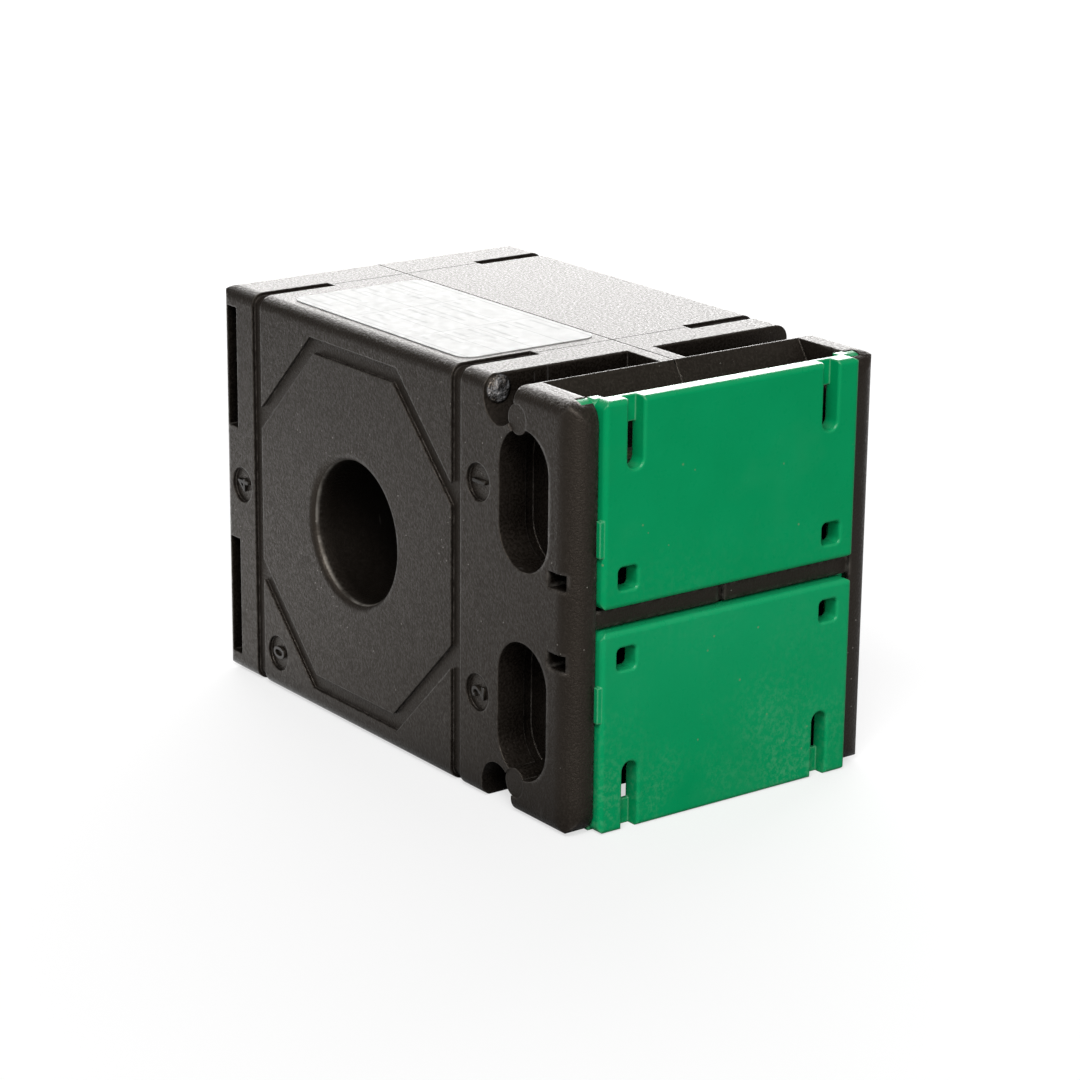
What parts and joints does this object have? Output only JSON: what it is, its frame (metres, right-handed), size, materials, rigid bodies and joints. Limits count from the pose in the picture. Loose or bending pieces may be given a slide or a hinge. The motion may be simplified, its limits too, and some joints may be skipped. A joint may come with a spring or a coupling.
{
  "type": "moulded case current transformer",
  "caption": "Moulded case current transformer with a round primary aperture and a double terminal box closed by sliding covers",
  "frame": {"origin": "centre of the primary aperture, half way through the case", "axes": "+Y runs through the primary aperture from the front face to the rear face, +X points to the terminal box, +Z points to the open end of the upper wire compartment"},
  "size_m": [0.0881, 0.053, 0.0601],
  "materials": {
    "case_plastic": "fine spark texture",
    "cover_plastic": "satin, slightly translucent",
    "terminal_metal": "nickel plated",
    "screw_steel": "zinc plated",
    "winding_copper": "enamelled copper wire",
    "core_steel": "wound strip",
    "cup_plastic": "moulded",
    "tape_film": "polyester film",
    "label_foil": "satin foil"
  },
  "bodies": {
    "housing": {"front_shell": "case_plastic", "rear_shell": "case_plastic", "core": "core_steel", "core_cup_front": "cup_plastic", "core_cup_rear": "cup_plastic", "secondary_winding": "winding_copper", "winding_tape": "tape_film", "lead_s1": "winding_copper", "lead_s2": "winding_copper", "terminal_bar_s1": "terminal_metal", "terminal_bar_s2": "terminal_metal", "label": "label_foil"},
    "upper_cover": {"upper_cover": "cover_plastic"},
    "lower_cover": {"lower_cover": "cover_plastic"},
    "clamp_s1_front": {"clamp_s1_front": "terminal_metal"},
    "screw_s1_front": {"screw_s1_front": "screw_steel"},
    "clamp_s1_rear": {"clamp_s1_rear": "terminal_metal"},
    "screw_s1_rear": {"screw_s1_rear": "screw_steel"},
    "clamp_s2_front": {"clamp_s2_front": "terminal_metal"},
    "screw_s2_front": {"screw_s2_front": "screw_steel"},
    "clamp_s2_rear": {"clamp_s2_rear": "terminal_metal"},
    "screw_s2_rear": {"screw_s2_rear": "screw_steel"}
  },
  "joints": [
    {"name": "upper_cover_slide", "type": "slide", "parent": "housing", "child": "upper_cover", "axis": [0, 0, 1], "range_m": [0, 0.028]},
    {"name": "lower_cover_slide", "type": "slide", "parent": "housing", "child": "lower_cover", "axis": [0, 0, -1], "range_m": [0, 0.028]},
    {"name": "clamp_s1_front_lift", "type": "slide", "parent": "housing", "child": "clamp_s1_front", "axis": [1, 0, 0], "range_m": [0, 0.0028]},
    {"name": "screw_s1_front_turn", "type": "hinge", "parent": "clamp_s1_front", "child": "screw_s1_front", "pos_m": [0.0468, -0.0093, 0.0148], "axis": [1, 0, 0], "range_deg": [0, 1440]},
    {"name": "clamp_s1_rear_lift", "type": "slide", "parent": "housing", "child": "clamp_s1_rear", "axis": [1, 0, 0], "range_m": [0, 0.0028]},
    {"name": "screw_s1_rear_turn", "type": "hinge", "parent": "clamp_s1_rear", "child": "screw_s1_rear", "pos_m": [0.0468, 0.0093, 0.0148], "axis": [1, 0, 0], "range_deg": [0, 1440]},
    {"name": "clamp_s2_front_lift", "type": "slide", "parent": "housing", "child": "clamp_s2_front", "axis": [1, 0, 0], "range_m": [0, 0.0028]},
    {"name": "screw_s2_front_turn", "type": "hinge", "parent": "clamp_s2_front", "child": "screw_s2_front", "pos_m": [0.0468, -0.0093, -0.0148], "axis": [1, 0, 0], "range_deg": [0, 1440]},
    {"name": "clamp_s2_rear_lift", "type": "slide", "parent": "housing", "child": "clamp_s2_rear", "axis": [1, 0, 0], "range_m": [0, 0.0028]},
    {"name": "screw_s2_rear_turn", "type": "hinge", "parent": "clamp_s2_rear", "child": "screw_s2_rear", "pos_m": [0.0468, 0.0093, -0.0148], "axis": [1, 0, 0], "range_deg": [0, 1440]}
  ],
  "couplings": [
    {"joint": "screw_s1_front_turn", "follows": "clamp_s1_front_lift", "rad_per_m": 8976},
    {"joint": "screw_s1_rear_turn", "follows": "clamp_s1_rear_lift", "rad_per_m": 8976},
    {"joint": "screw_s2_front_turn", "follows": "clamp_s2_front_lift", "rad_per_m": 8976},
    {"joint": "screw_s2_rear_turn", "follows": "clamp_s2_rear_lift", "rad_per_m": 8976}
  ]
}
